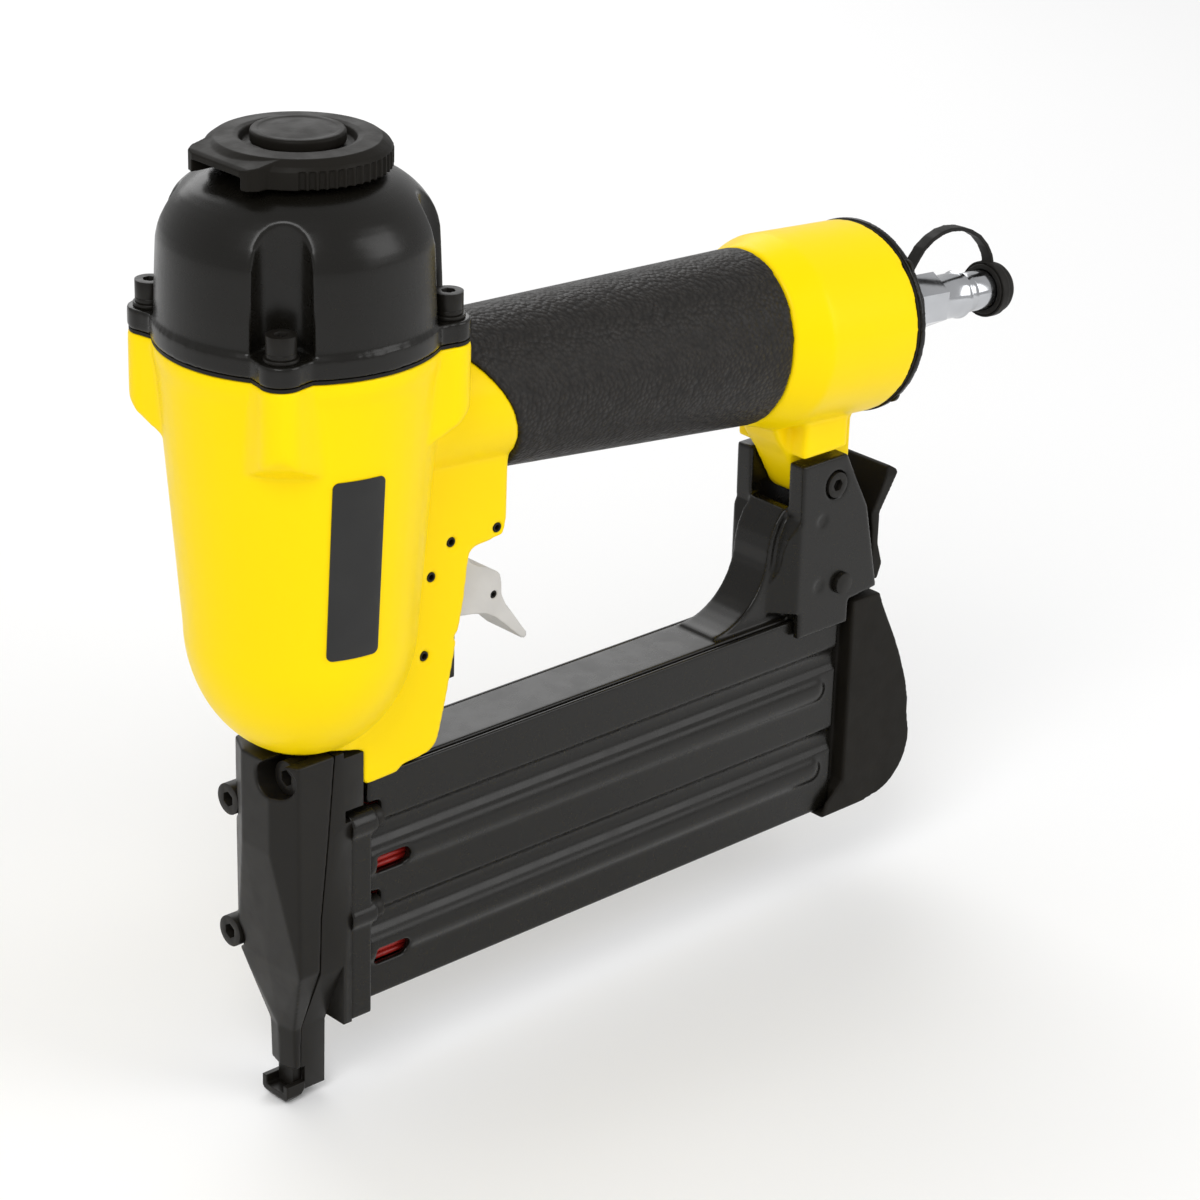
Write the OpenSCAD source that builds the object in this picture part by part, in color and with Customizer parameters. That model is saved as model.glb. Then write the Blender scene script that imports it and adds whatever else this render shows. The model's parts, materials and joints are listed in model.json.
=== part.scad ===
// Pneumatic brad nailer.
// Z runs up the driving axis, X points to the rear of the handle, Z = 0 is the sole of the contact foot.

/* [Barrel] */
// Radius of the barrel at the joint with the cap
barrel_top_r = 33.4; // [33:0.1:34]
// Radius of the barrel where its rounded bottom starts
barrel_low_r = 27.6; // [27.5:0.1:28]
// Height where the rounded bottom starts
barrel_low_z = 127.3; // [127:0.1:128]
// Height of the rounded bottom
dome_h = 33.4; // [33:0.1:34]
// Height of the joint between the barrel and the cap
seam_z = 197.5; // [197:0.1:198]
// Radius of the circle that the four cap screws stand on
bolt_circle_r = 33.7; // [33.5:0.1:34]
// Radius of the boss round each cap screw
boss_r = 5.35; // [5.2:0.05:5.6]
// Half the distance over the two trigger cheeks
cheek_half = 12.4; // [12.2:0.1:12.6]
// Half the gap between the two trigger cheeks
bay_half = 8.3; // [8.1:0.1:8.4]

/* [Handle] */
// Angle by which the handle drops to the rear
handle_tilt = 4.33; // [4:0.01:4.6]
// Distance from the driving axis to the end of the handle
handle_end_x = 185.2; // [185:0.1:186]
// Height of the handle's centre line at its end
handle_end_z = 162.4; // [162:0.1:163]
// Radius of the rear air chamber
rear_r = 25.4; // [25.2:0.1:25.6]
// Half the height of the grip at its rear end
grip_rear_v = 23.1; // [22.9:0.1:23.3]
// Half the width of the grip at its rear end
grip_rear_h = 20.4; // [20.2:0.1:20.6]
// Length of the grip's rear end from the end of the handle
grip_end_s = 43.4; // [43:0.1:44]

/* [Magazine] */
// Height of the underside of the sliding channel
mag_bottom_z = 24.1; // [24:0.1:24.4]
// Height of the top of the sliding channel
mag_joint_z = 85; // [84.9:0.05:85.05]
// Height of the top of the fixed rail
rail_top_z = 85.4; // [85.3:0.05:85.5]
// Half the width of the sliding channel
mag_half = 9.8; // [9.7:0.1:9.9]
// Distance from the driving axis to the front end of the channel
mag_front_x = 12.2; // [12.2:0.1:12.4]
// Distance from the driving axis to the rear end of the channel
mag_rear_x = 176; // [175.8:0.1:176]

/* [Nose] */
// Half the width of the nose
nose_half = 12.1; // [12:0.1:12.3]
// Position of the front of the nose cover
nose_front_x = -14.1; // [-14.3:0.1:-14]
// Height of the mouth where the nail leaves
mouth_z = 2.2; // [2.1:0.1:2.5]

/* [Drive] */
// Bore radius of the cylinder liner
liner_r = 18.5; // [18.4:0.1:18.6]
// Running clearance on radius between the piston and the liner
piston_gap = 0.05; // [0.03:0.01:0.08]
// Height of the top of the rubber bumper
bumper_top_z = 111; // [110.8:0.1:111.2]

/* [Hidden] */
$fn = 64;

yellow = "gold";
dark = [0.18, 0.17, 0.16];
rubber = [0.12, 0.12, 0.12];
steel = [0.62, 0.62, 0.64];
plated = [0.85, 0.86, 0.88];
cast_grey = [0.75, 0.73, 0.70];
brass = [0.72, 0.58, 0.30];
red = [0.6, 0.12, 0.12];

eps = 0.02;          // clearance between two fixed parts that touch on a curved face
fit = 0.05;          // running clearance of a pin in its bore
lip = 0.7;
lip_h = 6;
gasket_t = 0.8;
cap_base_z = seam_z + gasket_t;
flange_top_z = 203.3;
washer_t = 0.9;
spring_washer_t = 1.2;
m4_r = 2;
m4_head_r = 3.5;
m4_head_h = 4;
m5_r = 2.5;
m5_head_r = 4.25;
m5_head_h = 5;
m3_r = 1.5;

// trigger and valve axes
pivot = [29.8, 133.4];
lever_axis = [54.6, 120.2];
valve_x = 43.2;
valve_r = 6.9;
pin_z = 140.8;
pin_x = [35.9, 50.4];
pin_r = 1.25;
guide_pin = [27.8, 113.4];

// contact arm
arm_y0 = 3.4;
arm_y1 = 5.8;
arm_z0 = 87.4;
arm_z1 = 90;
arm_travel = 3.6;
strap_half = 3.1;
strap_x0 = -4.6;
strap_x1 = -2.8;
arm_half = 4.4;
toe_x = -5.6;
foot_floor_z = 2.4;

// driver
blade_x = -1.6;
blade_t = 1.3;
blade_half = 1.5;
lane_half = 0.8;
lane_z0 = 26.5;
lane_z1 = 77;
piston_z0 = 186;
piston_z1 = 195;

// magazine
wall = 1.9;
top_wall = 1.4;
rail_x0 = 11.9;
rail_plate_z = 80.3;
rail_half = 8.1;
ridge_r = 6.2;
ridge_end_x = 168.2;
ridge_z = [61.5, 37.6];
groove_z = [69.4, 45.3];
window_z = [60.6, 35.3];
window_x = [14.9, 25.5];
window_r = 2.4;
latch_axis = [172.9, 93];
bracket_screw_axis = [169.3, 121.9];
clevis_in = 6.8;
clevis_out = 12.4;
clevis_front_x = 156.3;

function barrel_r(z) = barrel_low_r
    + (z - barrel_low_z) * (barrel_top_r - lip - barrel_low_r) / (seam_z - lip_h - barrel_low_z);
function polar(r, a) = [r * cos(a), r * sin(a)];
function dome(grow) =
    [for (a = [0:5:90]) [(barrel_low_r + grow) * sin(a), barrel_low_z - (dome_h + grow) * cos(a)]];
function arc(cx, cy, r, a0, a1, n = 8) = [for (i = [0:n]) [cx, cy] + polar(r, a0 + (a1 - a0) * i / n)];

// flanks of the lug round a cap screw, on the X axis
module lug_flanks(shrink) {
    half = 9.5 - shrink;
    tip = 5.1 - shrink;
    polygon([[20, -half], [29.5, -half], [35.5, -tip], [35.5, tip], [29.5, half], [20, half]]);
}

module at_bolts() {
    for (a = [45:90:315])
        translate([bolt_circle_r * cos(a), bolt_circle_r * sin(a), 0]) children();
}

module tube(z0, z1, r_out, r_in) {
    translate([0, 0, z0]) difference() {
        cylinder(r = r_out, h = z1 - z0);
        translate([0, 0, -1]) cylinder(r = r_in, h = z1 - z0 + 2);
    }
}

module disc(z0, z1, r) { translate([0, 0, z0]) cylinder(r = r, h = z1 - z0); }

module block(x, y, z) {
    translate([x[0], y[0], z[0]]) cube([x[1] - x[0], y[1] - y[0], z[1] - z[0]]);
}

// outline in X and Z, extruded over a range of Y
module side_plate(points, y) {
    translate([0, y[1], 0]) rotate([90, 0, 0]) linear_extrude(y[1] - y[0]) polygon(points);
}

// outline in Y and Z, extruded over a range of X
module cross_plate(points, x) {
    translate([x[0], 0, 0]) rotate([90, 0, 90]) linear_extrude(x[1] - x[0]) polygon(points);
}

module rod_y(at, r, y) {
    translate([at[0], y[1], at[1]]) rotate([90, 0, 0]) cylinder(r = r, h = y[1] - y[0]);
}

// rolled spring pin: hollow, ending just inside the faces of the cheeks
module spring_pin(at, r) {
    difference() {
        rod_y(at, r, [0.3 - cheek_half, cheek_half - 0.3]);
        rod_y(at, r * 0.56, [-cheek_half, cheek_half]);
    }
}

module rod_x(at, r, x) {
    translate([x[0], at[0], at[1]]) rotate([0, 90, 0]) cylinder(r = r, h = x[1] - x[0]);
}

module torus(r, wire) { rotate_extrude() translate([r, 0]) circle(r = wire, $fn = 24); }

// socket head screw along +Z: the head's underside is at 0, its socket opens upwards
module socket_screw(r, length, head_r, head_h) {
    difference() {
        union() {
            translate([0, 0, -length]) cylinder(r = r, h = length + 0.1);
            cylinder(r = head_r, h = head_h);
        }
        translate([0, 0, head_h * 0.45]) cylinder(r = head_r * 0.5, h = head_h, $fn = 6);
    }
}

// frame of the handle: its Z runs to the rear along the centre line, from the end of the handle
module handle_frame() {
    translate([handle_end_x, 0, handle_end_z]) rotate([0, 90 + handle_tilt, 0]) children();
}

// round wire wound on a cylinder of height h, as a closed tube of six-sided rings
module coil(r, wire, turns, h) {
    sides = 6;
    rings = turns * 12;
    points = [for (i = [0:rings]) for (k = [0:sides - 1])
        let (a = 360 * turns * i / rings, b = 360 * k / sides, q = r + wire * cos(b))
        [q * cos(a), q * sin(a), wire + (h - 2 * wire) * i / rings + wire * sin(b)]];
    walls = [for (i = [0:rings - 1]) for (k = [0:sides - 1])
        let (a = i * sides + k, b = i * sides + (k + 1) % sides)
        [a, b, b + sides, a + sides]];
    first = [for (k = [sides - 1:-1:0]) k];
    last = [for (k = [0:sides - 1]) rings * sides + k];
    polyhedron(points, concat([first], walls, [last]), convexity = 4);
}

module ellipse_slice(s, h, v) {
    translate([0, 0, s]) linear_extrude(0.1)
        polygon([for (a = [0:5.625:354.5]) [v * cos(a), h * sin(a)]]);
}

// ---- Body ----

// joint between the end plate and its gasket, from the end of the handle
end_joint_s = -1.6;

neck_centre = [8, 152];
neck_r = 46.5;
tube_r = 16.9;
cheek = concat(
    [[0, 190], [0, 96.8], [3.2, 95.8], [9.2, 94.3], [9.2, 86.2], [10.4, 84.6]],
    [[19.8, 85.2], [21, 86.4], [27, 87]],
    arc(27.5, 92.5, 5.5, -80, -10, 4),
    [[35, 99.9], [38.2, 114.9], [40.3, 124.8], [41.7, 135.9], [42.6, 137.3]],
    arc(51.4, 140.3, 2, -90, 0, 4),
    [[53.6, 158], [50, 178], [44, 190]]
);

module body_shape() {
    rotate_extrude() polygon(concat(dome(0), [[barrel_top_r - lip, seam_z - lip_h],
        [barrel_top_r, seam_z - lip_h / 2], [barrel_top_r, seam_z], [0, seam_z]]));
    // bosses of the cap screws: flanks run into the barrel, and each underside slopes inwards
    intersection() {
        for (a = [45:90:315]) rotate([0, 0, a]) translate([0, 0, seam_z - 24]) linear_extrude(24) {
            lug_flanks(0);
            translate([bolt_circle_r, 0]) circle(r = boss_r);
        }
        rotate_extrude() polygon([[15, seam_z], [15, seam_z - 24], [31.3, seam_z - 22.8], [37, seam_z - 19],
            [39.4, seam_z - 15.5], [39.4, seam_z]]);
    }
    intersection() {
        union() {
            side_plate(cheek, [-cheek_half, cheek_half]);
            handle_frame() disc(-186, -120, 18.2);
        }
        rod_y(neck_centre, neck_r, [-30, 30]);
    }
    side_plate([for (p = cheek) if (p[1] < 120) p], [-cheek_half, cheek_half]);
    handle_frame() {
        disc(-150, -40, tube_r);
        hull() {
            ellipse_slice(-grip_end_s + 0.1, grip_rear_h, grip_rear_v);
            translate([0, 0, -34]) cylinder(r = rear_r, h = 0.1);
        }
        disc(-34, end_joint_s - gasket_t, rear_r);
    }
    // lug for the rear end of the magazine
    block([156.2, 172.3], [-clevis_out, clevis_out], [131.8, 146]);
    side_plate([[149, 143], [152.8, 135.6], [156, 131.3], [163, 119], [164.5, 117.6],
        [177, 117.6], [179.7, 124], [179.7, 143]], [-clevis_in + 0.2, clevis_in - 0.2]);
}

module body_bores() {
    disc(118, seam_z + 1, 24.5);
    disc(bumper_top_z - 0.5, 119, 20.6);
    disc(103.8, bumper_top_z, 18.2);
    block([-6, 3], [-3, 3], [90, 105]);
    handle_frame() {
        disc(-166, -39, 12.5);
        translate([0, 0, -39.5]) cylinder(r1 = 12.5, r2 = 21, h = 8);
        disc(-32, 1, 21);
        for (a = [45:90:315]) rotate([0, 0, a]) translate([23.3, 0, -12]) cylinder(r = m3_r + eps, h = 13);
    }
    at_bolts() disc(seam_z - 16, seam_z + 1, m4_r + eps);
    // trigger bay, valve bore and the passage of the contact arm
    block([28.3, 62], [-bay_half, bay_half], [95, 137.9]);
    block([27.1, 30], [-bay_half, bay_half], [127.9, 137.9]);
    block([24.6, 30], [-bay_half, bay_half], [95, 112.4]);
    block([3, 62], [-bay_half, bay_half], [80, 95.3]);
    block([9.15, 40], [-mag_half - 0.3, mag_half + 0.3], [80, mag_joint_z + 0.3]);
    translate([valve_x, 0, 130]) cylinder(r = valve_r + eps, h = 36);
    for (x = pin_x) rod_y([x, pin_z], pin_r + eps, [-20, 20]);
    rod_y(pivot, pin_r + eps, [-20, 20]);
    rod_y(guide_pin, pin_r + eps, [-20, 20]);
    rod_y(bracket_screw_axis, m4_r + 0.1, [-20, 20]);
}

module body_housing() {
    color(yellow) difference() {
        body_shape();
        body_bores();
    }
}

module label_plate() {
    color(dark) intersection() {
        rotate_extrude() polygon([for (side = [0, 1]) for (z = side == 0 ? [128, 174] : [174, 128])
            [barrel_r(z) + (side == 0 ? eps : 0.3), z]]);
        rotate([0, 0, -103]) translate([20, 0, 150.7]) rotate([90, 0, 90]) linear_extrude(20)
            offset(r = 1.5) square([10, 42], center = true);
    }
}

// ---- Handle ----

module grip_sleeve() {
    color(rubber) difference() {
        handle_frame() {
            hull() {
                ellipse_slice(-150, 18.1, 19.4);
                ellipse_slice(-112, 18, 19.5);
                ellipse_slice(-grip_end_s - 0.1, grip_rear_h, grip_rear_v);
            }
        }
        handle_frame() disc(-160, -40, tube_r + eps);
        rod_y(neck_centre, neck_r + eps, [-30, 30]);
    }
}

module end_cap_gasket() {
    color(rubber) handle_frame() difference() {
        tube(end_joint_s - gasket_t + eps, end_joint_s, rear_r - 0.3, 20);
        for (a = [45:90:315]) rotate([0, 0, a]) translate([23.3, 0, -4]) cylinder(r = m3_r + 0.1, h = 3);
    }
}

boss_s = 17;
module end_cap() {
    color(dark) handle_frame() difference() {
        union() {
            disc(end_joint_s, 0, rear_r + 0.2);
            disc(-0.1, boss_s, 9.6);
        }
        for (a = [45:90:315]) rotate([0, 0, a]) translate([23.3, 0, -4]) {
            cylinder(r = m3_r + 0.1, h = 8);
            translate([0, 0, 3]) cylinder(r = 2.9, h = 4);
        }
        disc(-4, boss_s + 1, 5.02);
    }
}

module end_cap_screws() {
    color(dark) handle_frame() for (a = [45:90:315]) rotate([0, 0, a])
        translate([23.3, 0, -1]) socket_screw(m3_r, 9, 2.75, 1);
}

// plug, from its thread to its tip, in the handle frame
nipple_r = 5.4;
plug_tip_s = 56;
module air_plug() {
    color(plated) handle_frame() difference() {
        union() {
            disc(3, 19.1, 5);
            translate([0, 0, 19]) cylinder(r = 7.7, h = 11.1, $fn = 6);
            disc(30, 39.4, 6.1);
            translate([0, 0, 39.3]) cylinder(r1 = 6.1, r2 = 6.6, h = 1);
            disc(40.2, 43.2, 4.9);
            translate([0, 0, 43.1]) cylinder(r1 = 4.9, r2 = nipple_r, h = 1);
            disc(44, plug_tip_s - 2, nipple_r);
            translate([0, 0, plug_tip_s - 2.05]) cylinder(r1 = nipple_r, r2 = 4.2, h = 2.05);
        }
        disc(0, plug_tip_s + 1, 2.4);
    }
}

cap_s = [51, 57.8];
module dust_cap() {
    color(rubber) handle_frame() difference() {
        union() {
            disc(cap_s[0], cap_s[1] - 1.5, 7);
            translate([0, 0, cap_s[1] - 1.55]) cylinder(r1 = 7, r2 = 5.9, h = 1.55);
        }
        disc(cap_s[0] - 1, plug_tip_s + 0.3, nipple_r + 0.06);
    }
}

// strap from the ring before the hexagon to the dust cap, its path given as height and distance
module dust_cap_tether() {
    path = [[7, 18], [9.2, 19.4], [12.2, 21.4], [15, 23.5], [17.3, 26.8], [18.7, 30.4], [19.2, 34],
        [18.9, 38], [17.8, 42], [15.8, 46], [13, 49.2], [10, 51.4], [7.3, 52.5]];
    last = len(path) - 1;
    thick = 1.1;
    half_y = 1.8;
    function beside(i, d) =
        let (a = path[max(i - 1, 0)], b = path[min(i + 1, last)], q = (b - a) / norm(b - a))
        path[i] + d * [q[1], -q[0]];
    color(rubber) handle_frame() {
        tube(boss_s + eps, boss_s + 1.9, 8.4, 5.1);
        intersection() {
            rotate([90, 0, 0]) linear_extrude(2 * half_y, center = true) scale([-1, 1])
                polygon(concat([for (i = [0:last]) beside(i, thick / 2)],
                    [for (i = [last:-1:0]) beside(i, -thick / 2)]));
            difference() {
                block([-30, 0], [-5, 5], [boss_s + 0.1, 60]);
                translate([0, 0, 40]) cylinder(r = 7.04, h = 20);
            }
        }
        tube(cap_s[0] + 0.4, cap_s[0] + 3.2, 7.7, 7.04);
    }
}

// ---- Head ----

module flange_outline(z0, z1, shrink) {
    disc(z0, z1, barrel_top_r + 0.3 - shrink);
    at_bolts() disc(z0, z1, boss_r - shrink);
    for (a = [45:90:315]) rotate([0, 0, a])
        translate([0, 0, z0]) linear_extrude(z1 - z0) lug_flanks(shrink);
}

module cap_gasket() {
    color(rubber) difference() {
        flange_outline(seam_z + eps, cap_base_z - eps, 0.3);
        disc(seam_z - 1, cap_base_z + 1, 24.5);
        at_bolts() disc(seam_z - 1, cap_base_z + 1, m4_r + 0.1);
    }
}

cap_wall_z = 220.3;
cap_top_z = 237.2;
valve_seat_r = 21.6;
module cylinder_cap() {
    round_r = 19;
    shoulder = [for (a = [0:7.5:90])
        [32.2 - round_r * (1 - cos(a)), cap_wall_z + (cap_top_z - cap_wall_z) * sin(a)]];
    color(dark) difference() {
        union() {
            rotate_extrude() polygon(concat([[0, cap_base_z], [33.4, cap_base_z], [33.4, flange_top_z - 0.1],
                [32.9, flange_top_z + 0.2], [32.7, 210]], shoulder, [[0, cap_top_z]]));
            flange_outline(cap_base_z, flange_top_z, 0);
        }
        at_bolts() {
            disc(flange_top_z, cap_top_z + 5, 7.2);
            disc(cap_base_z - 1, flange_top_z + 1, m4_r + 0.1);
        }
        disc(cap_base_z - 1, 224, valve_seat_r);
        disc(223, 232, 14);
        disc(230, cap_top_z + 1, m3_r * 2 + eps);
        for (a = [0:60:300]) rotate([0, 0, a]) translate([9.5, 0, 228]) cylinder(r = 2.6, h = 12);
    }
}

module cap_flat_washers() {
    color(steel) at_bolts() tube(flange_top_z, flange_top_z + washer_t, 4, m4_r + 0.1);
}

module cap_spring_washers() {
    z0 = flange_top_z + washer_t;
    color(dark) at_bolts() difference() {
        tube(z0, z0 + spring_washer_t, 3.5, m4_r + 0.1);
        block([0, 5], [-0.3, 0.3], [z0 - 1, z0 + 3]);
    }
}

module cap_screws() {
    color(dark) at_bolts() translate([0, 0, flange_top_z + washer_t + spring_washer_t])
        socket_screw(m4_r, 22, m4_head_r, m4_head_h);
}

ring_r = 21.3;
ring_z0 = 237.8;
ring_z1 = 244.5;
module exhaust_deflector() {
    flutes = 60;
    hood_plan = [[-5, -13], [-20.5, -11.8], [-22.4, -10.6], [-23, -8.5], [-23, 8.5], [-22.4, 10.6],
        [-20.5, 11.8], [-5, 13]];
    roof = [[-24, ring_z0], [-24, ring_z0 + 3.7], [-22, ring_z0 + 4.9], [-15, ring_z1 - 0.5],
        [-12.6, ring_z1 - 0.2], [-12.6, ring_z0 + 2.2], [-14, ring_z0]];
    color(dark) difference() {
        union() {
            rotate_extrude() polygon([[4.37, ring_z0 + 2], [4.37, 242.4], [12.5, 242.4],
                [13.2, ring_z1 - 0.4], [14.5, ring_z1], [18.8, ring_z1 - 0.3], [20.6, ring_z1 - 1.6],
                [ring_r, ring_z0 + 4], [ring_r, ring_z0], [ring_r - 1.8, ring_z0],
                [ring_r - 1.8, ring_z0 + 2.6], [9, ring_z0 + 2.6], [9, ring_z0 + 0.2],
                [7.5, ring_z0 + 0.2], [7.5, ring_z0 + 2]]);
            intersection() {
                translate([0, 0, ring_z0]) linear_extrude(8) polygon(hood_plan);
                side_plate(roof, [-14, 14]);
            }
        }
        // mouth of the hood
        translate([0, 0, ring_z0 - 1]) linear_extrude(3.9)
            polygon([[-9, -8], [-30, -9], [-30, 9], [-9, 8]]);
        for (i = [0:flutes - 1]) if (abs(i * 360 / flutes - 180) > 50)
            rotate([0, 0, i * 360 / flutes]) translate([ring_r + 0.2, 0, ring_z0 - 1])
                cylinder(r = 0.9, h = 5.2, $fn = 14);
    }
}

module deflector_o_ring() {
    color(rubber) translate([0, 0, cap_top_z + 0.86]) torus(5.2, 0.85);
}

module deflector_knob() {
    color(dark) {
        difference() {
            union() {
                rotate_extrude() polygon(concat([[0, 242.7], [9.9, 242.7], [10.8, 243.2], [10.8, 245.4],
                    [10.4, 245.9], [9.2, 245.9], [8.8, 245.7]],
                    [for (r = [8:-2:0]) [r, 245.7 + 0.6 * (1 - r * r / 64)]]));
                disc(240, 242.8, 4.3);
                disc(228.5, 240.1, 3);
            }
            disc(228, 229, 1);
        }
    }
}

module head_valve() {
    color(steel) difference() {
        union() {
            disc(200.2, 204, valve_seat_r - 0.1);
            disc(203.9, 216, 12);
        }
        disc(206, 217, 9.5);
        disc(199, 217, 3);
        rotate_extrude() translate([valve_seat_r - 0.1, 202.2]) circle(r = 0.7, $fn = 24);
    }
}

module head_valve_seal() {
    color(rubber) tube(197.25, 200.2, 20.3, 15);
}

module head_valve_spring() {
    color(steel) translate([0, 0, 204.1]) coil(15.5, 0.8, 4, 19.7);
}

// ---- Drive ----

module cylinder_liner() {
    color(steel) difference() {
        union() {
            disc(bumper_top_z, 197.2, 20.5);
            disc(190, 194, 23.5);
        }
        disc(100, 199, liner_r);
        for (z = [114.5, 192]) translate([0, 0, z])
            torus(z > 150 ? 23.3 : 20.5, 0.9);
        for (a = [0:45:315]) rotate([0, 0, a]) translate([0, 0, 124]) rod_x([0, 0], 1.2, [15, 24]);
    }
}

module liner_o_rings() {
    color(rubber) {
        translate([0, 0, 114.5]) torus(20.1, 0.47);
        translate([0, 0, 192]) torus(23.45, 0.8);
    }
}

module bumper() {
    color(rubber) difference() {
        union() {
            disc(103.9, 107, 18);
            translate([0, 0, 106.95]) cylinder(r1 = 18, r2 = 15.5, h = bumper_top_z - 107);
        }
        disc(100, 112, 6);
    }
}

module piston() {
    color(steel) difference() {
        disc(piston_z0, piston_z1, liner_r - piston_gap);
        translate([0, 0, 191]) rotate_extrude() translate([liner_r, 0]) square([3.4, 2.4], center = true);
        block([blade_x - blade_t / 2 - eps, blade_x + blade_t / 2 + eps], [-3.05, 3.05], [185, 192]);
        rod_x([0, 188.5], 1 + eps, [-30, 8]);
        disc(192, 196, 9);
    }
}

module piston_o_ring() {
    color(rubber) translate([0, 0, 191]) torus(17.6, 0.8);
}

module driver_blade() {
    x = [blade_x - blade_t / 2, blade_x + blade_t / 2];
    color(steel) difference() {
        union() {
            block(x, [-blade_half, blade_half], [78, 184]);
            block(x, [-3, 3], [180, 191.9]);
        }
        rod_x([0, 188.5], 1 + eps, [-30, 8]);
    }
}

module blade_pin() {
    color(steel) rod_x([0, 188.5], 1, [-6, 7.9]);
}

// ---- Nose ----

cover_bottom_z = 8.7;
// joint between the nose cover and the nose plate, seen from the side
joint_line = [[0.6, 96], [-1.45, 73], [-3.6, 53], [-4.05, 36], [-4.25, cover_bottom_z],
    [-3.1, cover_bottom_z], [-3.1, -1]];
nose_back_x = 1;
module behind_joint() { side_plate(concat(joint_line, [[20, -1], [20, 96]]), [-20, 20]); }

nose_outline = [[-nose_half, 95.5], [-nose_half, 38], [-4.6, 20], [-4.4, mouth_z],
    [4.4, mouth_z], [4.6, 20], [nose_half, 38], [nose_half, 95.5]];
front_screw_y = 13.9;
front_screw_z = [77.9, 41.8];
rear_screw_y = -9.2;
rear_lug_r = 3.8;
flange_x = [5.6, 11.9];
rear_screw_z = [73.8, 49.2];
cover_screw = [-6.8, 91];
recess_r = 4.55;

// lug on the far side of the nose for a long screw
lug_x = [9.1, 5.6];
module screw_lug(z, x) {
    rod_x([front_screw_y, z], 4.6, x);
    block(x, [10, front_screw_y], [z - 4, z + 4]);
}

module slice(z, points) { translate([0, 0, z]) linear_extrude(0.02) polygon(points); }

module cover_shape() {
    back = nose_back_x;
    full = [[back, -nose_half], [-10.6, -nose_half], [nose_front_x, -5.3], [nose_front_x, 5.3],
        [-10.6, nose_half], [back, nose_half]];
    flat = [[back, -nose_half], [-10.4, -nose_half], [-10.8, 0], [-10.4, nose_half], [back, nose_half]];
    low = [[back, -4.8], [-6.6, -4.8], [-7.8, 0], [-6.6, 4.8], [back, 4.8]];
    translate([0, 0, 71.2]) linear_extrude(95.5 - 71.2) polygon(full);
    hull() { slice(71.2, full); slice(39, flat); }
    hull() { slice(39, flat); slice(20, low); }
    hull() { slice(20, low); slice(cover_bottom_z, [for (p = low) [p[0] * (p[0] < -5 ? 0.94 : 1), p[1]]]); }
    for (z = front_screw_z) screw_lug(z, [-6.6, back]);
}

module barrel_recess() { rotate_extrude() polygon(concat(dome(0.1), [[0, barrel_low_z]])); }

// room for the contact arm's strap and for the driver, in both halves of the nose
module strap_slot() {
    half = strap_half + 0.3;
    block([strap_x0 - 0.2, strap_x1 + 0.2], [-half, half], [0, 94.6]);
    block([toe_x - 0.2, strap_x1 + 0.2], [-half, half], [0, 16.2]);
    block([strap_x0, blade_x + blade_t / 2 + 0.12], [-blade_half - 0.12, blade_half + 0.12], [0, 96]);
}

module nose_cover() {
    color(dark) difference() {
        cover_shape();
        behind_joint();
        barrel_recess();
        strap_slot();
        block([strap_x0 - 0.2, nose_back_x + 1], [0, arm_y1 + 0.4],
            [arm_z0 - 0.4, arm_z1 + arm_travel + 0.4]);
        // recess of the screw, drawn out towards the middle
        rod_x(cover_screw, recess_r, [-20, -5]);
        rod_x(cover_screw + [2, 0], recess_r, [-20, -5]);
        block([-20, -5], [cover_screw[0], cover_screw[0] + 2],
            [cover_screw[1] - recess_r, cover_screw[1] + recess_r]);
        rod_x(cover_screw, m5_r + 0.1, [-20, 2]);
        for (z = front_screw_z) {
            rod_x([front_screw_y, z], m4_r + 0.1, [-20, 2]);
            rod_x([front_screw_y, z], 4.3, [-20, -6.6]);
        }
    }
}

module nose_plate() {
    x0 = -6;
    color(dark) difference() {
        intersection() {
            union() {
                cross_plate(nose_outline, [x0, 3.1]);
                cross_plate([[-nose_half, 78.3], [-nose_half, 21.5], [nose_half, 21.5], [nose_half, 78.3]],
                    [3.05, flange_x[0]]);
                block([3.05, lug_x[0]], [-nose_half, nose_half], [78.3, 94]);
                for (i = [0, 1]) screw_lug(front_screw_z[i], [x0, lug_x[i]]);
            }
            behind_joint();
        }
        barrel_recess();
        strap_slot();
        block([blade_x, 10], [-lane_half, lane_half], [lane_z0, lane_z1]);
        block([x0, 10], [arm_y0 - 0.4, arm_y1 + 0.4], [arm_z0 - 0.4, 96]);
        block([3.6, 10], [-20, -6], [76.6, 79.8]);
        rod_x(cover_screw, m5_r + eps, [-5, 6.5]);
        for (z = front_screw_z) rod_x([front_screw_y, z], m4_r + 0.1, [-20, 20]);
        for (z = rear_screw_z) rod_x([rear_screw_y, z], m3_r + eps, [0.8, 20]);
    }
}

module nose_cover_screw() {
    color(dark) translate([-5, cover_screw[0], cover_screw[1]]) rotate([0, -90, 0])
        socket_screw(m5_r, 11, m5_head_r, m5_head_h);
}

module nose_front_screws() {
    color(dark) for (z = front_screw_z) translate([-6.6, front_screw_y, z]) rotate([0, -90, 0])
        socket_screw(m4_r, 18, 4, 5);
}

module nose_rear_screws() {
    color(dark) for (z = rear_screw_z) translate([13.4, rear_screw_y, z]) rotate([0, 90, 0])
        socket_screw(m3_r, 12.4, 3, 2.3);
}

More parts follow.
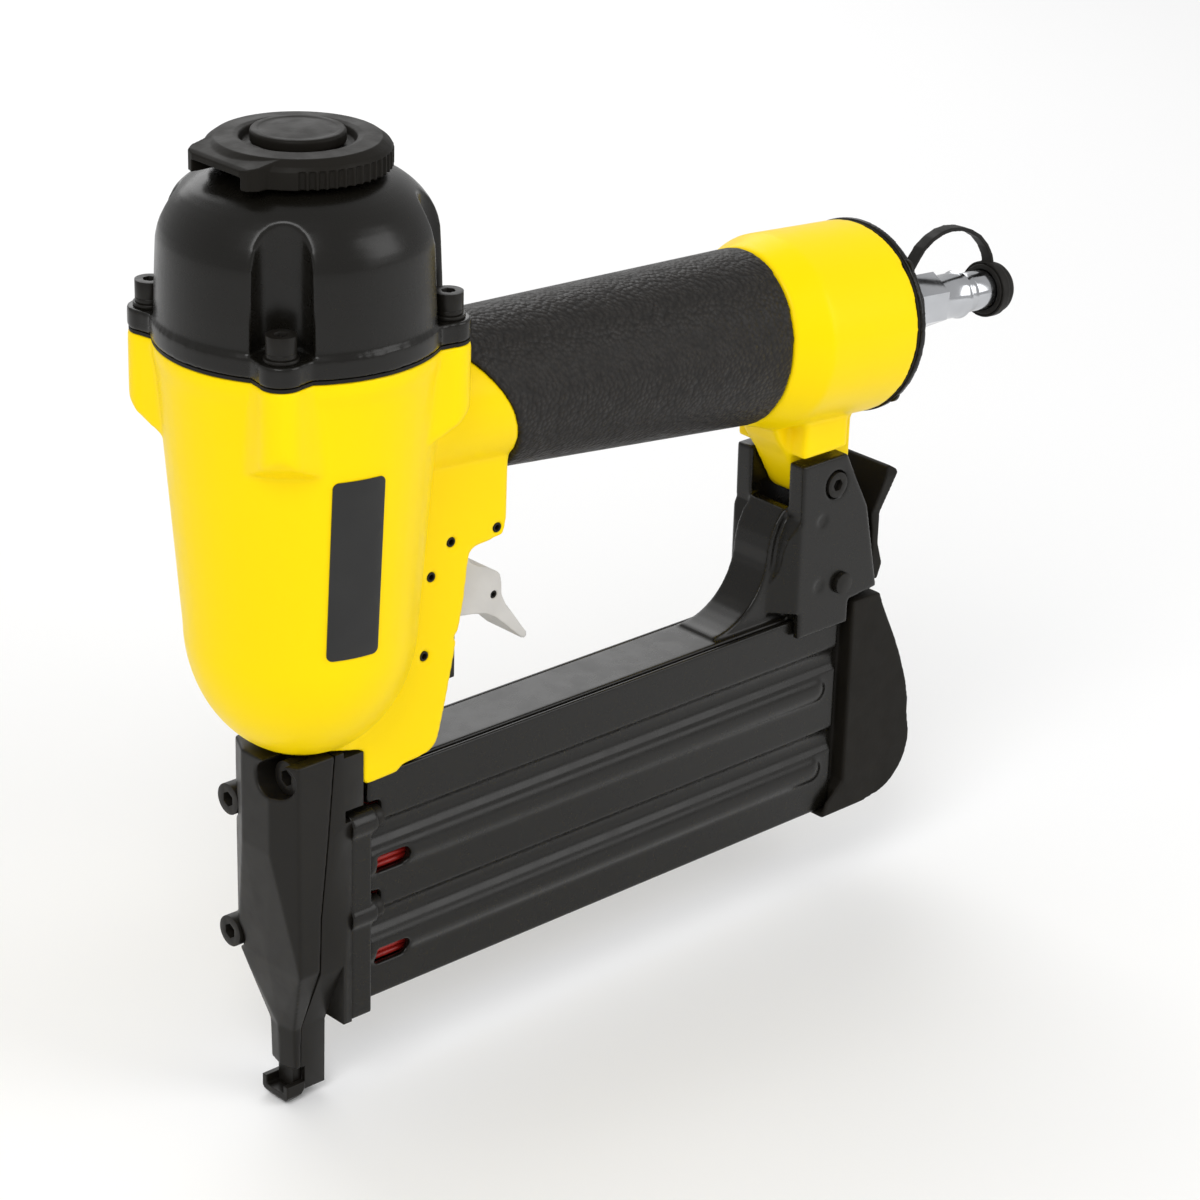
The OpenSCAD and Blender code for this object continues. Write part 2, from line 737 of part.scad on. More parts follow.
module contact_arm() {
    top = arm_z1;
    rear = [42, 44.2];
    riser = [31.2, 33.4];
    shelf = [100.4, 102.6];
    y = [-arm_half, arm_half];
    color(dark) {
        block([strap_x0, strap_x1], [-strap_half, strap_half], [4.2, top]);
        block([toe_x, strap_x1], [-strap_half, strap_half], [foot_floor_z, 12]);
        block([strap_x0, strap_x1], [0, arm_y1], [arm_z0, top]);
        block([strap_x1 - 0.1, riser[1]], [arm_y0, arm_y1], [arm_z0, top]);
        block([25, riser[1]], y, [arm_z0, top]);
        block(riser, y, [arm_z0, shelf[1]]);
        block([riser[0], rear[1]], y, shelf);
        block(rear, y, [shelf[0], 113.4]);
    }
}

module contact_foot() {
    color(dark) difference() {
        intersection() {
            cross_plate([[-5, 4.7], [-5, 1.6], [-4.2, 0.5], [-3.2, 0],
                [3.2, 0], [4.2, 0.5], [5, 1.6], [5, 4.7]], [-9, -3.4]);
            side_plate([[-9, 4.7], [-9, 0.9], [-8.5, 0], [-6.4, 0], [-4.6, 1.1],
                [-3.4, 2.9], [-3.4, 4.7]], [-6, 6]);
        }
        block([-10, 0], [-strap_half - 0.2, strap_half + 0.2], [foot_floor_z, 6]);
    }
}

module contact_spring() {
    color(steel) translate([guide_pin[0], 0, arm_z1 + 0.02])
        coil(2.2, 0.4, 6, guide_pin[1] - pin_r - arm_z1 - 0.05);
}

module contact_guide_pin() {
    color(dark) spring_pin(guide_pin, pin_r);
}

// ---- Trigger ----

module trigger() {
    outline = concat(arc(pivot[0], pivot[1], 2.3, 100, 260, 8),
        [[35, 119], [42.9, 117.6], [48.1, 116.8], [52.3, 115.7], [55.2, 114], [57.5, 112]],
        [[64, 106], [64.9, 105.7], [65.6, 106.1], [65.6, 107.2], [64.2, 109], [61.4, 112.9]],
        [[58.4, 117], [57.2, 119.6], [57, 123], [56.6, 125], [55.9, 125.9], [54.8, 126.6]],
        [[52, 128.3], [49.2, 129.3], [47, 130.8], [45.6, 132.8], [43.8, 134.2], [40, 135.2]],
        [[36, 135.6]]);
    color(cast_grey) difference() {
        side_plate(outline, [-6.6, 6.6]);
        side_plate([[20, 100], [20, 140], [48.2, 140], [48.2, 127.9], [54, 125.6], [55.6, 124],
            [56.2, 121.5], [56.2, 118.4], [49.5, 118.4], [49.5, 100]], [-4.7, 4.7]);
        rod_y(pivot, pin_r + fit, [-20, 20]);
        rod_y(lever_axis, 1 + fit, [-20, 20]);
    }
}

module trigger_pivot_pin() {
    color(dark) spring_pin(pivot, pin_r);
}

module trigger_lever() {
    color(steel) difference() {
        union() {
            side_plate([[40.6, 118.5], [41.4, 117.6], [46, 118.3], [52, 119.2], [54.6, 118.9],
                [54.6, 121.5], [50, 121.4], [43, 120.5]], [-4, 4]);
            rod_y(lever_axis, 1.35, [-4, 4]);
        }
        rod_y(lever_axis, 1 + fit, [-10, 10]);
    }
}

module lever_pin() {
    color(steel) difference() {
        rod_y(lever_axis, 1, [-6.4, 6.4]);
        rod_y(lever_axis, 0.55, [-7, 7]);
    }
}

module valve_body() {
    color(brass) translate([valve_x, 0, 0]) difference() {
        union() {
            disc(138.3, 159, valve_r);
            disc(136.5, 138.4, 4.6);
        }
        rotate_extrude() translate([valve_r, pin_z]) square([2.1, 2.7], center = true);
        for (z = [145.5, 155]) rotate_extrude() translate([valve_r, z]) square([2, 2], center = true);
        disc(130, 142, 1.5 + fit);
        disc(142, 160, 3.1);
    }
}

module valve_o_rings() {
    color(rubber) translate([valve_x, 0, 0]) for (z = [145.5, 155]) translate([0, 0, z]) torus(6.42, 0.46);
}

stem_bottom_z = 123.2;
module valve_stem() {
    color(steel) translate([valve_x, 0, 0]) {
        disc(stem_bottom_z, 148, 1.5);
        disc(142.4, 144.6, 3);
    }
}

module valve_spring() {
    color(steel) translate([valve_x, 0, 144.65]) coil(2.3, 0.35, 8, 14.2);
}

module valve_pins() {
    color(dark) for (x = pin_x) spring_pin([x, pin_z], pin_r);
}

// ---- Magazine ----

module magazine_flange() {
    x = flange_x;
    color(dark) difference() {
        union() {
            difference() {
                block(x, [-nose_half, nose_half], [22, 76.4]);
                block([x[0] - 1, lug_x[0]], [9.2, 20], [73.2, 80]);
            }
            for (z = rear_screw_z) rod_x([rear_screw_y, z], rear_lug_r, [x[0], 13.4]);
            for (i = [0, 1]) screw_lug(front_screw_z[i], [lug_x[i], x[1]]);
            block([9.1, x[1]], [-6, 6], [76, 84]);
        }
        block([0, 20], [-lane_half, lane_half], [lane_z0, lane_z1]);
        block([9.5, 20], [-5.4, 5.4], [lane_z0 - 0.3, 79]);
        for (z = front_screw_z) rod_x([front_screw_y, z], m4_r + eps, [0, 11.6]);
        for (z = rear_screw_z) rod_x([rear_screw_y, z], m3_r + eps, [4, 20]);
    }
}

module magazine_rail() {
    web = 6.6;
    top_z = 116.5;
    web_front = concat([[131.7, 84]], arc(131.7, 105.4, 19, -90, 0, 10),
        [[151.6, 109.5], [153.3, 113], [clevis_front_x, top_z], [159, top_z], [159, 84]]);
    cheek_outline = [[clevis_front_x, 129.8], [172.9, 129.8], [181.8, 113], [187.3, 88], [176.4, 87],
        [176.4, 80.5], [157.5, 80.5]];
    color(dark) difference() {
        union() {
            // top rail and the guide that hangs from it
            block([rail_x0, 176.4], [-rail_half, rail_half], [rail_plate_z, rail_top_z]);
            block([rail_x0, 168], [1.1, 3.6], [lane_z0, rail_plate_z + 0.1]);
            // bracket: curved web, front wall and clevis
            side_plate(web_front, [-web, web]);
            intersection() {
                side_plate([for (p = web_front) p + [2.6, 0]], [-clevis_out, clevis_out]);
                translate([0, 0, 88]) linear_extrude(top_z - 88) polygon([[147, -5], [150.5, -web],
                    [clevis_front_x, -clevis_out], [159, -clevis_out], [159, clevis_out],
                    [clevis_front_x, clevis_out], [150.5, web], [147, 5]]);
            }
            for (y = [[-clevis_out, -clevis_in], [clevis_in, clevis_out]]) side_plate(cheek_outline, y);
        }
        for (side = [-1, 1]) scale([1, side, 1]) {
            block([140, 190], [rail_half, mag_half + 0.3], [78, mag_joint_z + 0.3]);
            // shallow moulding marks
            for (z = [112.7, 94.2]) rod_y([164.5, z], 1.9, [clevis_out - 0.3, 20]);
        }
        rod_y(bracket_screw_axis, m4_r + 0.1, [-20, 20]);
        rod_y(bracket_screw_axis, m4_head_r + 0.3, [-20, -9.6]);
        translate([bracket_screw_axis[0], 10.4, bracket_screw_axis[1]]) rotate([-90, 0, 0])
            cylinder(r = 4.15, h = 5, $fn = 6);
        rod_y(latch_axis, 2 + eps, [-20, 20]);
        block([159, 190], [-clevis_in, clevis_in], [rail_top_z, 118]);
    }
}

module channel_section() {
    for (side = [-1, 1]) scale([side, 1]) difference() {
        translate([mag_half - wall, mag_bottom_z]) square([wall, mag_joint_z - mag_bottom_z]);
        translate([0, rail_plate_z - 0.3]) square([mag_half - top_wall, 10]);
        for (z = groove_z) translate([mag_half + 3.6, z]) circle(r = 5, $fn = 48);
    }
    translate([-mag_half, mag_bottom_z]) square([2 * mag_half, wall]);
}

// rounded ridge along one side of the channel, closed by a dome at its rear end
module ridge(z) {
    intersection() {
        union() {
            rod_x([mag_half - 5, z], ridge_r, [mag_front_x, ridge_end_x]);
            translate([ridge_end_x, mag_half - 5, z]) rotate([0, 90, 0])
                rotate_extrude() polygon(concat([[0, -1]], [[ridge_r, -1]], arc(0, 0, ridge_r, 0, 90, 8)));
        }
        block([mag_front_x, mag_rear_x], [mag_half - wall, 12], [z - 8, z + 8]);
    }
}

module magazine_channel() {
    color(dark) difference() {
        union() {
            translate([mag_front_x, 0, 0]) rotate([90, 0, 90]) linear_extrude(mag_rear_x - mag_front_x)
                channel_section();
            for (side = [-1, 1], z = ridge_z) scale([1, side, 1]) ridge(z);
        }
        for (z = window_z) {
            block([window_x[0], window_x[1] - window_r], [-20, 0], [z - window_r, z + window_r]);
            rod_y([window_x[1] - window_r, z], window_r, [-20, 0]);
        }
        for (z = rear_screw_z) rod_x([rear_screw_y, z], rear_lug_r + 0.4, [11, 16.4]);
    }
}

module end_cover() {
    outline = concat([[178.5, 85.7], [189, 85.7], [190.9, 81.2], [192.9, 77], [194.9, 73.2], [196.8, 69.3],
        [198.8, 64.7], [200.6, 59.8], [202.2, 55], [203.3, 50]],
        arc(189.6, 38.5, 15, 20, -75, 12),
        [[186, 22.9], [171, 22.8], [172.5, 27], [178.5, 32]]);
    inner = mag_half - wall - 0.3;
    color(dark) difference() {
        union() {
            side_plate(outline, [-clevis_out, clevis_out]);
            block([170, 180], [-inner, inner], [mag_bottom_z + wall + 0.3, 79]);
        }
        // pocket for the end of the channel
        difference() {
            block([165, mag_rear_x], [-11.4, 11.4], [mag_bottom_z, 87]);
            block([169, 180], [-inner, inner], [mag_bottom_z + wall + 0.3, 79]);
        }
        block([163, 184], [0.5, 4.2], [mag_bottom_z + 0.5, 90]);
    }
}

pusher_front_x = 14.4;
pusher_body_x = 28;
module pusher() {
    color(red) {
        block([pusher_front_x, pusher_body_x + 0.1], [-2.6, 0.8], [30, 74]);
        block([pusher_body_x, 44], [-6.2, 0.8], [30, 74]);
        for (z = window_z, dz = [-0.6, -2.3]) rod_x([-6.4, z + dz], 0.75, [pusher_front_x, 42]);
    }
}

module pusher_spring() {
    color(steel) translate([44.2, -2.4, 53]) rotate([0, 90, 0]) coil(2.4, 0.4, 22, 125);
}

module magazine_latch() {
    color(dark) difference() {
        union() {
            // thumb plate and the heel below it, both behind the clevis
            intersection() {
                side_plate([[193.5, 119.6], [192.6, 120.7], [190.2, 122.1], [189.2, 121.8], [188.1, 114.8],
                    [186.8, 108], [187.4, 104], [190, 106.5]], [-12, 12]);
                cross_plate([[-9.4, 100], [9.4, 100], [9.4, 108], [12, 119], [12, 123], [-12, 123],
                    [-12, 119], [-9.4, 108]], [180, 200]);
            }
            side_plate([[187.4, 105], [187.9, 98], [187.9, 88.6], [190.7, 88.2], [192.3, 92.5],
                [190.2, 99], [190.2, 107]], [-9.4, 9.4]);
            side_plate([[190.2, 99], [192.3, 92.5], [190.7, 88.2], [188.7, 87], [186.4, 86.2],
                [180.6, 86.1], [176, 88.6], [172.9, 88.4], [168.3, 93], [172.9, 97.6], [182, 104],
                [190, 108]], [-6.5, 6.5]);
        }
        rod_y(latch_axis, 2 + fit, [-20, 20]);
        block([166, 177], [-4.4, 4.4], [80, 99]);
    }
}

module latch_pin() {
    color(dark) {
        rod_y(latch_axis, 2, [-clevis_out - 0.1, clevis_out + 0.1]);
        rod_y(latch_axis, 3, [-clevis_out - 1.4, -clevis_out - 0.02]);
    }
}

module latch_spring() {
    color(steel) translate([latch_axis[0], 4, latch_axis[1]]) rotate([90, 0, 0]) coil(2.9, 0.4, 6, 8);
}

module bracket_screw() {
    color(dark) translate([bracket_screw_axis[0], -9.6, bracket_screw_axis[1]]) rotate([90, 0, 0])
        socket_screw(m4_r, 23, m4_head_r, 3.1);
}

module bracket_nut() {
    color(steel) translate([bracket_screw_axis[0], 10.42, bracket_screw_axis[1]]) rotate([-90, 0, 0])
        difference() {
            cylinder(r = 4.04, h = 3.2, $fn = 6);
            translate([0, 0, -1]) cylinder(r = m4_r + eps, h = 6);
        }
}

body_housing();
label_plate();
grip_sleeve();
end_cap_gasket();
end_cap();
end_cap_screws();
air_plug();
dust_cap();
dust_cap_tether();
cap_gasket();
cylinder_cap();
cap_flat_washers();
cap_spring_washers();
cap_screws();
exhaust_deflector();
deflector_o_ring();
deflector_knob();
head_valve();
head_valve_seal();
head_valve_spring();
cylinder_liner();
liner_o_rings();
bumper();
piston();
piston_o_ring();
driver_blade();
blade_pin();
nose_cover();
nose_plate();
nose_cover_screw();
nose_front_screws();
nose_rear_screws();
contact_arm();
contact_foot();
contact_spring();
contact_guide_pin();
trigger();
trigger_pivot_pin();
trigger_lever();
lever_pin();
valve_body();
valve_o_rings();
valve_stem();
valve_spring();
valve_pins();
magazine_flange();
magazine_rail();
magazine_channel();
end_cover();
pusher();
pusher_spring();
magazine_latch();
latch_pin();
latch_spring();
bracket_screw();
bracket_nut();
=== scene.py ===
"""Looks of the pneumatic brad nailer: cast, painted, moulded and plated surfaces."""

import json
import math

import bmesh
import bpy
from mathutils import Matrix, Vector


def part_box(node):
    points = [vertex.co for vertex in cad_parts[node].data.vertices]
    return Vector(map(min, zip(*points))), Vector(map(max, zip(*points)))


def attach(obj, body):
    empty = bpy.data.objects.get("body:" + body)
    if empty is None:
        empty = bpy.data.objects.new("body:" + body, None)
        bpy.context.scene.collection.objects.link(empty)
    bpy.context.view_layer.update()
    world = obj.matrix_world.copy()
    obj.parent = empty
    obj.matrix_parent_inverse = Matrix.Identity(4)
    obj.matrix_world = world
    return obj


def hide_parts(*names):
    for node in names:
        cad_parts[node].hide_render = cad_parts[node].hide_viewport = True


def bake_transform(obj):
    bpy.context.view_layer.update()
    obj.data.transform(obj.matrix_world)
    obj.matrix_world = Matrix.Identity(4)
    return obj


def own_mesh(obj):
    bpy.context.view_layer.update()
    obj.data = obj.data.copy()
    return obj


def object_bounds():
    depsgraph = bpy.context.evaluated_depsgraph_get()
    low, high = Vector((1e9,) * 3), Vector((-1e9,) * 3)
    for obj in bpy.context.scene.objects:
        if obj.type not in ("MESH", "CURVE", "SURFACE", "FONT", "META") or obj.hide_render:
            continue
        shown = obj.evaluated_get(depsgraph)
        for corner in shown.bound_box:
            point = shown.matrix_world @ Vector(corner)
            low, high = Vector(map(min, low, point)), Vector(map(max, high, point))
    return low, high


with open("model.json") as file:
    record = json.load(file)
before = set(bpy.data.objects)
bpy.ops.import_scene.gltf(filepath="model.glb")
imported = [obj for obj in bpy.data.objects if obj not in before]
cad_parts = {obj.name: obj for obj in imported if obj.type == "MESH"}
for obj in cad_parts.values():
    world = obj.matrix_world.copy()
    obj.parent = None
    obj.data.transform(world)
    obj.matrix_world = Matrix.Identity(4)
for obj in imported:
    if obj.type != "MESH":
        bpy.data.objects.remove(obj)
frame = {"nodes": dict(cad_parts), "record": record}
cad_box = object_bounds()
MM = 0.001
NODES = frame["nodes"]
BODIES = frame["record"]["behaviour"]["bodies"]
BODY_OF = {node: body for body, nodes in BODIES.items() for node in nodes}
SLOT_OF = {s["node"]: s["material_slot"] for s in frame["record"]["subparts"]}
STRAP = "dust_cap_tether"


# ---- Camera: the photograph's viewing angle ----

CAMERA_PLACE = Vector((-475.77, -602.18, 470.07)) * MM
CAMERA_YAW = math.radians(46.46)
CAMERA_PITCH = math.radians(23.73)
CAMERA_ROLL = math.radians(-1.78)
LENS_MM = 107.24


def add_camera():
    yaw, pitch, roll = CAMERA_YAW, CAMERA_PITCH, CAMERA_ROLL
    ahead = Vector((math.cos(yaw) * math.cos(pitch), math.sin(yaw) * math.cos(pitch), -math.sin(pitch)))
    level = Vector((math.sin(yaw), -math.cos(yaw), 0))
    down = ahead.cross(level)
    right = math.cos(roll) * level + math.sin(roll) * down
    down = -math.sin(roll) * level + math.cos(roll) * down
    turn = Matrix((right, -down, -ahead)).transposed().to_4x4()
    data = bpy.data.cameras.new("camera")
    data.lens = LENS_MM
    data.sensor_width = 36
    data.clip_end = 10
    camera = bpy.data.objects.new("camera", data)
    camera.matrix_world = Matrix.Translation(CAMERA_PLACE) @ turn
    bpy.context.scene.collection.objects.link(camera)
    bpy.context.scene.camera = camera


# ---- Materials ----


class Shader:
    """A principled material with a few helpers to wire its nodes."""

    def __init__(self, name, **sockets):
        self.material = bpy.data.materials.new(name)
        self.material.use_nodes = True
        self.tree = self.material.node_tree
        self.bsdf = self.tree.nodes["Principled BSDF"]
        for key, value in sockets.items():
            self.bsdf.inputs[key.replace("_", " ")].default_value = value
        self.coords = self.tree.nodes.new("ShaderNodeTexCoord").outputs["Object"]

    def node(self, kind, **values):
        made = self.tree.nodes.new("ShaderNode" + kind)
        for key, value in values.items():
            if hasattr(made, key):
                setattr(made, key, value)
            else:
                made.inputs[key.replace("_", " ")].default_value = value
        return made

    def link(self, source, target):
        self.tree.links.new(source, target)

    def noise(self, scale, detail, roughness=0.5):
        made = self.node("TexNoise", Scale=scale, Detail=detail, Roughness=roughness)
        self.link(self.coords, made.inputs["Vector"])
        return made.outputs["Fac"]

    def spread(self, source, low, high):
        made = self.node("MapRange", From_Min=0.3, From_Max=0.7, To_Min=low, To_Max=high)
        self.link(source, made.inputs["Value"])
        return made.outputs["Result"]

    def colours(self, source, stops):
        made = self.tree.nodes.new("ShaderNodeValToRGB")
        ramp = made.color_ramp
        while len(ramp.elements) < len(stops):
            ramp.elements.new(0.5)
        for element, (place, colour) in zip(ramp.elements, stops):
            element.position = place
            element.color = (*colour, 1)
        self.link(source, made.inputs["Fac"])
        self.link(made.outputs["Color"], self.bsdf.inputs["Base Color"])

    def roughness(self, source, low, high):
        self.link(self.spread(source, low, high), self.bsdf.inputs["Roughness"])

    def bump(self, height, distance_mm, strength=1.0):
        made = self.node("Bump", Strength=strength, Distance=distance_mm * MM)
        self.link(height, made.inputs["Height"])
        before = self.bsdf.inputs["Normal"].links
        if before:
            self.link(before[0].from_socket, made.inputs["Normal"])
        self.link(made.outputs["Normal"], self.bsdf.inputs["Normal"])


def shade(colour, factor):
    return tuple(min(1.0, c * factor) for c in colour)


def painted(name, colour, rough, coat, grain_mm=0.02, variation=0.06, shine=0.3):
    s = Shader(name, Coat_Weight=coat, Coat_Roughness=0.2, IOR=1.5, Specular_IOR_Level=shine)
    dark, light = shade(colour, 1 - variation), shade(colour, 1 + variation * 0.4)
    s.colours(s.noise(28, 4), [(0.3, dark), (0.7, light)])
    s.roughness(s.noise(170, 3), rough * 0.85, rough * 1.15)
    s.bump(s.noise(520, 2), grain_mm)
    s.bump(s.noise(60, 2), grain_mm * 1.5, 0.5)
    return s.material


def pebbled(name, colour):
    s = Shader(name, IOR=1.45, Specular_IOR_Level=0.3)
    cells = s.node("TexVoronoi", Scale=820.0, feature="SMOOTH_F1", Smoothness=0.25)
    s.link(s.coords, cells.inputs["Vector"])
    warp = s.noise(240, 3)
    # Painted highlight and painted shade: each pebble's raised top is coloured lighter and the low gaps
    # between pebbles darker, following the same cells as the bump.
    s.colours(cells.outputs["Distance"], [(0.1, shade(colour, 1.35)), (0.75, shade(colour, 0.55))])
    s.roughness(warp, 0.42, 0.56)
    hills = s.node("Math", operation="SUBTRACT")
    hills.inputs[0].default_value = 1.0
    s.link(cells.outputs["Distance"], hills.inputs[1])
    s.bump(hills.outputs[0], 0.38, 0.9)
    s.bump(warp, 0.12, 0.5)
    return s.material


def moulded(name, colour, rough, grain_mm=0.05, scale=900.0, shine=0.3):
    s = Shader(name, IOR=1.46, Specular_IOR_Level=shine)
    s.colours(s.noise(45, 4), [(0.3, shade(colour, 0.82)), (0.7, shade(colour, 1.15))])
    s.roughness(s.noise(210, 3), rough * 0.88, rough * 1.12)
    s.bump(s.noise(scale, 2), grain_mm)
    return s.material


def metal(name, colour, rough, grain_mm, stretch=(1, 1, 1)):
    s = Shader(name, Metallic=1.0)
    placed = s.node("Mapping")
    placed.inputs["Scale"].default_value = stretch
    s.link(s.coords, placed.inputs["Vector"])
    s.coords = placed.outputs["Vector"]
    s.colours(s.noise(90, 4), [(0.3, shade(colour, 0.88)), (0.7, shade(colour, 1.06))])
    grain = s.noise(420.0, 4, 0.65)
    s.roughness(grain, rough * 0.75, rough * 1.3)
    s.bump(grain, grain_mm)
    return s.material


def make_materials():
    return {
        "yellow_paint": painted("yellow_enamel", (1.0, 0.715, 0.0), 0.34, 0.0, 0.006, 0.012, 0.1),
        "black_paint": painted("black_enamel", (0.0052, 0.0046, 0.0034), 0.27, 0.0, 0.006, 0.12, 0.3),
        "black_plastic": moulded("moulded_black", (0.0088, 0.0076, 0.0058), 0.5, 0.03, shine=0.12),
        "grip_rubber": pebbled("pebbled_rubber", (0.0125, 0.0105, 0.0088)),
        "soft_rubber": moulded("plain_rubber", (0.0095, 0.0085, 0.0072), 0.55, 0.03, 700.0, 0.22),
        "plated_steel": metal("plated_steel", (0.52, 0.53, 0.55), 0.16, 0.004),
        "bright_steel": metal("ground_steel", (0.56, 0.56, 0.57), 0.3, 0.012, (1, 1, 6)),
        "black_steel": painted("blackened_steel", (0.0085, 0.0074, 0.0058), 0.38, 0.0, 0.012, 0.15, 0.22),
        "cast_aluminium": moulded("silver_casting", (0.56, 0.545, 0.52), 0.42, 0.03, 500.0, 0.5),
        "brass": metal("turned_brass", (0.72, 0.53, 0.24), 0.25, 0.01, (1, 1, 5)),
        "red_paint": painted("red_lacquer", (0.40, 0.02, 0.015), 0.35, 0.1, 0.01, 0.1),
        "label_film": moulded("label_film", (0.02, 0.02, 0.02), 0.34, 0.006, 1500.0),
    }


# ---- Meshes ----

WELD_MM = 0.002
BEVEL_ANGLE = math.radians(32)
SHARP_ANGLE = math.radians(35)


def modified(source, name, *modifiers):
    """A new object with source's mesh after the modifiers, given as (type, {setting: value})."""
    made = bpy.data.objects.new(name, source.data.copy())
    bpy.context.scene.collection.objects.link(made)
    for kind, settings in modifiers:
        modifier = made.modifiers.new(kind.lower(), kind)
        for key, value in settings.items():
            setattr(modifier, key, value)
    bpy.context.view_layer.update()
    seen = made.evaluated_get(bpy.context.evaluated_depsgraph_get())
    mesh = bpy.data.meshes.new_from_object(seen)
    made.modifiers.clear()
    made.data = mesh
    return made


def keep_inside(obj, node):
    low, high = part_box(node)
    for v in obj.data.vertices:
        v.co = [min(max(c, a), b) for c, a, b in zip(v.co, low, high)]


def dress(obj, node, materials, smooth=True, rides=True):
    """Puts obj in the CAD node's place: its body, its slot, its material."""
    obj.data.materials.clear()
    obj.data.materials.append(materials[SLOT_OF[node]])
    if smooth:
        obj.data.polygons.foreach_set("use_smooth", [True] * len(obj.data.polygons))
    if rides:
        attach(obj, BODY_OF[node])
    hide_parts(node)
    return obj


def cast(node, voxel_mm, passes, keep, materials):
    """The node with every edge and inner corner rounded, as a casting or moulding has them."""
    obj = modified(
        NODES[node],
        node + "_cast",
        ("REMESH", {"mode": "VOXEL", "voxel_size": voxel_mm * MM, "adaptivity": 0.0}),
        ("SMOOTH", {"factor": 0.5, "iterations": passes}),
        ("DECIMATE", {"ratio": keep}),
    )
    keep_inside(obj, node)
    return dress(obj, node, materials, rides=node != STRAP)


def eased(node, width_mm, materials):
    """The node with its sharp edges bevelled, as a machined or plated piece has them."""
    source = modified(NODES[node], node + "_joined", ("WELD", {"merge_threshold": WELD_MM * MM}))
    bevel = {
        "width": width_mm * MM,
        "segments": 2,
        "limit_method": "ANGLE",
        "angle_limit": BEVEL_ANGLE,
        "use_clamp_overlap": True,
        "harden_normals": False,
    }
    obj = modified(source, node + "_eased", ("BEVEL", bevel))
    bpy.data.objects.remove(source)
    keep_inside(obj, node)
    obj.data.polygons.foreach_set("use_smooth", [True] * len(obj.data.polygons))
    obj.data.set_sharp_from_angle(angle=SHARP_ANGLE)
    return dress(obj, node, materials, smooth=False)


def sprung(node, materials):
    """A coil spring, copied from the CAD node onto its own mesh and dressed; nothing here shortens it."""
    obj = dress(modified(NODES[node], node + "_wire"), node, materials)
    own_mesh(obj)


def stretch_strap(obj):
    """The strap with its placement baked into its vertices; it rides on no body."""
    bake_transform(obj)


# node: (voxel in mm, smoothing passes, share of the faces that stays)
CAST = {
    "body_housing": (0.6, 14, 0.3),
    "cylinder_cap": (0.42, 14, 0.3),
    "nose_cover": (0.35, 12, 0.45),
    "magazine_flange": (0.4, 6, 0.5),
    "magazine_rail": (0.42, 12, 0.3),
    "magazine_channel": (0.42, 16, 0.22),
    "end_cover": (0.4, 12, 0.4),
    "magazine_latch": (0.3, 12, 0.5),
    "exhaust_deflector": (0.2, 3, 0.4),
    "deflector_knob": (0.22, 9, 0.4),
    "trigger": (0.25, 6, 0.5),
    "contact_foot": (0.18, 7, 0.6),
    "contact_arm": (0.35, 5, 0.5),
    "dust_cap": (0.3, 6, 0.5),
    "dust_cap_tether": (0.25, 5, 0.5),
    "end_cap": (0.3, 4, 0.4),
    "grip_sleeve": (0.6, 10, 0.5),
}

# node: width of the bevel in mm
EASED = {
    "cap_screws": 0.25,
    "cap_flat_washers": 0.12,
    "cap_spring_washers": 0.12,
    "nose_cover_screw": 0.25,
    "nose_front_screws": 0.25,
    "nose_rear_screws": 0.2,
    "bracket_screw": 0.2,
    "end_cap_screws": 0.15,
    "air_plug": 0.25,
    "trigger_pivot_pin": 0.2,
    "contact_guide_pin": 0.2,
    "valve_pins": 0.2,
    "lever_pin": 0.15,
    "latch_pin": 0.3,
    "bracket_nut": 0.25,
    "label_plate": 0.06,
    "trigger_lever": 0.2,
    "pusher": 0.3,
    "nose_plate": 0.3,
}
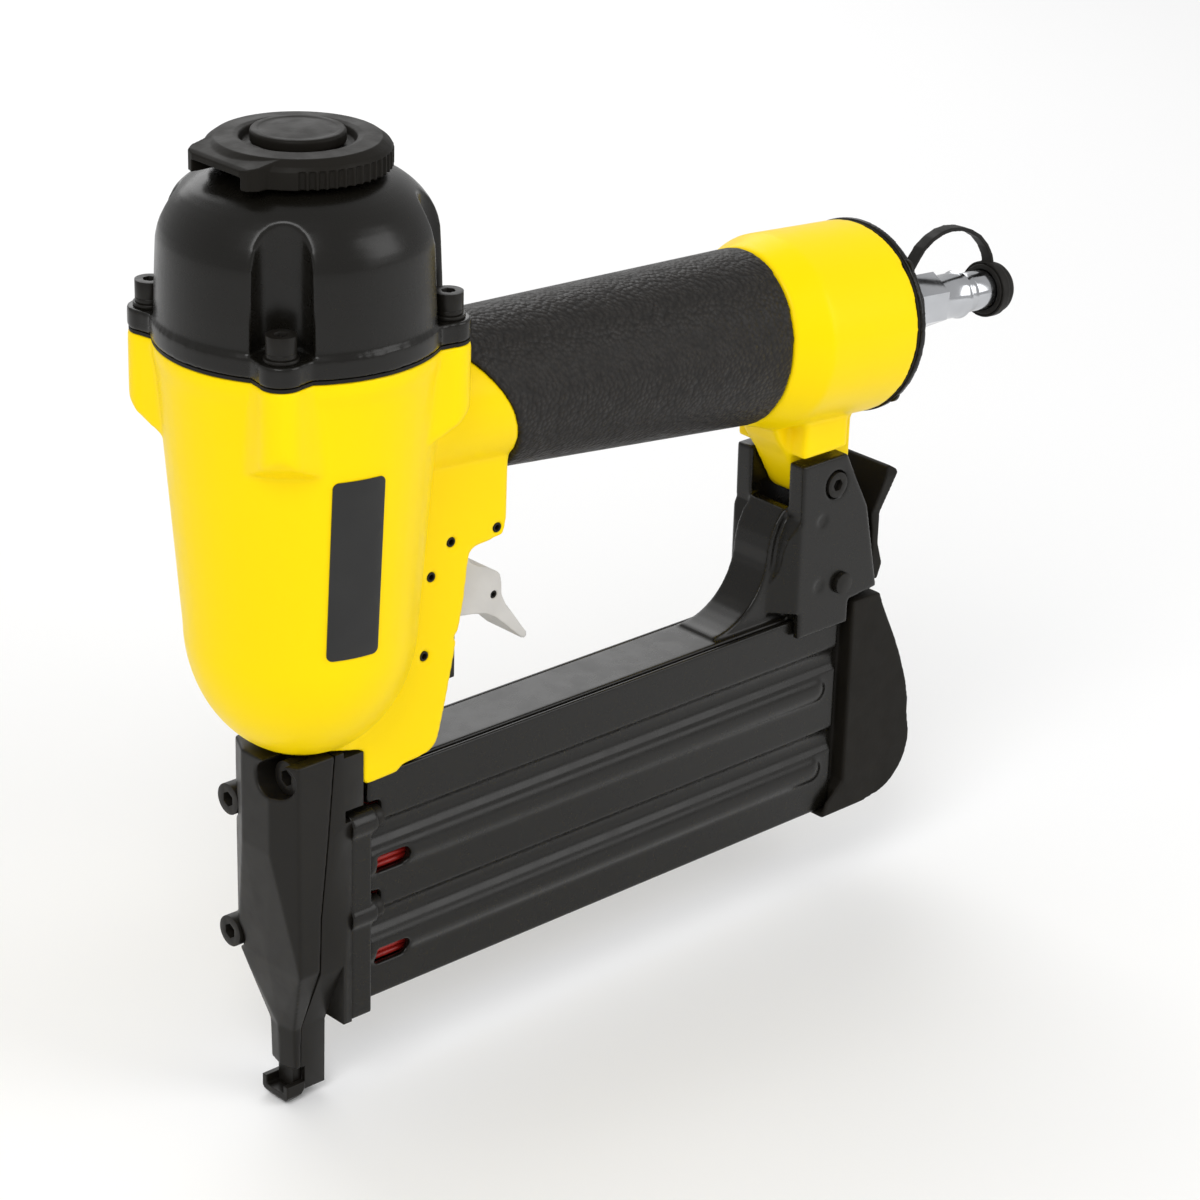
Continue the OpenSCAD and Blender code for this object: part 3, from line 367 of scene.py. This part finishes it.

# node: (joint, axis of the spring's length)
SPRINGS = {
    "head_valve_spring": ("head_valve_lift", 2),
    "contact_spring": ("contact_slide", 2),
    "valve_spring": ("valve_stem_slide", 2),
    "pusher_spring": ("pusher_slide", 0),
}


# ---- Light and floor ----


LIGHT_TARGET = Vector((0.1, 0, 0.12))
FLOOR_HALF = 6
FLOOR_GAP = 0.5 * MM


def add_area(name, place, size, power):
    data = bpy.data.lights.new(name, "AREA")
    data.shape = "RECTANGLE"
    data.size, data.size_y = size
    data.energy = power
    light = bpy.data.objects.new(name, data)
    light.location = place
    light.rotation_euler = (LIGHT_TARGET - Vector(place)).to_track_quat("-Z", "Y").to_euler()
    bpy.context.scene.collection.objects.link(light)


def add_studio():
    mesh = bpy.data.meshes.new("floor")
    edit = bmesh.new()
    bmesh.ops.create_grid(edit, x_segments=8, y_segments=8, size=FLOOR_HALF)
    edit.to_mesh(mesh)
    edit.free()
    floor = bpy.data.objects.new("floor", mesh)
    floor.location.z = cad_box[0][2] - FLOOR_GAP
    bpy.context.scene.collection.objects.link(floor)
    s = Shader("floor", Roughness=0.9)
    s.colours(s.noise(0.7, 2), [(0.2, (0.9, 0.9, 0.9)), (0.8, (0.92, 0.92, 0.92))])
    mesh.materials.append(s.material)
    world = bpy.data.worlds.new("studio")
    world.use_nodes = True
    world.node_tree.nodes["Background"].inputs["Color"].default_value = (1, 1, 1, 1)
    world.node_tree.nodes["Background"].inputs["Strength"].default_value = 0.6
    bpy.context.scene.world = world
    add_area("key", (-0.9, -0.6, 1.2), (0.8, 0.8), 10.5)
    add_area("side", (0.85, -1.2, 0.8), (0.8, 1.0), 6.5)
    add_area("back", (0.6, 1.1, 1.0), (1.2, 1.2), 8)
    bpy.context.scene.view_settings.view_transform = "Standard"


def main():
    add_camera()
    add_studio()
    materials = make_materials()
    for node, (voxel, passes, keep) in CAST.items():
        made = cast(node, voxel, passes, keep, materials)
        if node == STRAP:
            stretch_strap(made)
    for node, (joint, axis) in SPRINGS.items():
        sprung(node, materials)
    for node, width in EASED.items():
        eased(node, width, materials)
    for node, obj in NODES.items():
        obj.data.materials.clear()
        obj.data.materials.append(materials[SLOT_OF[node]])


main()
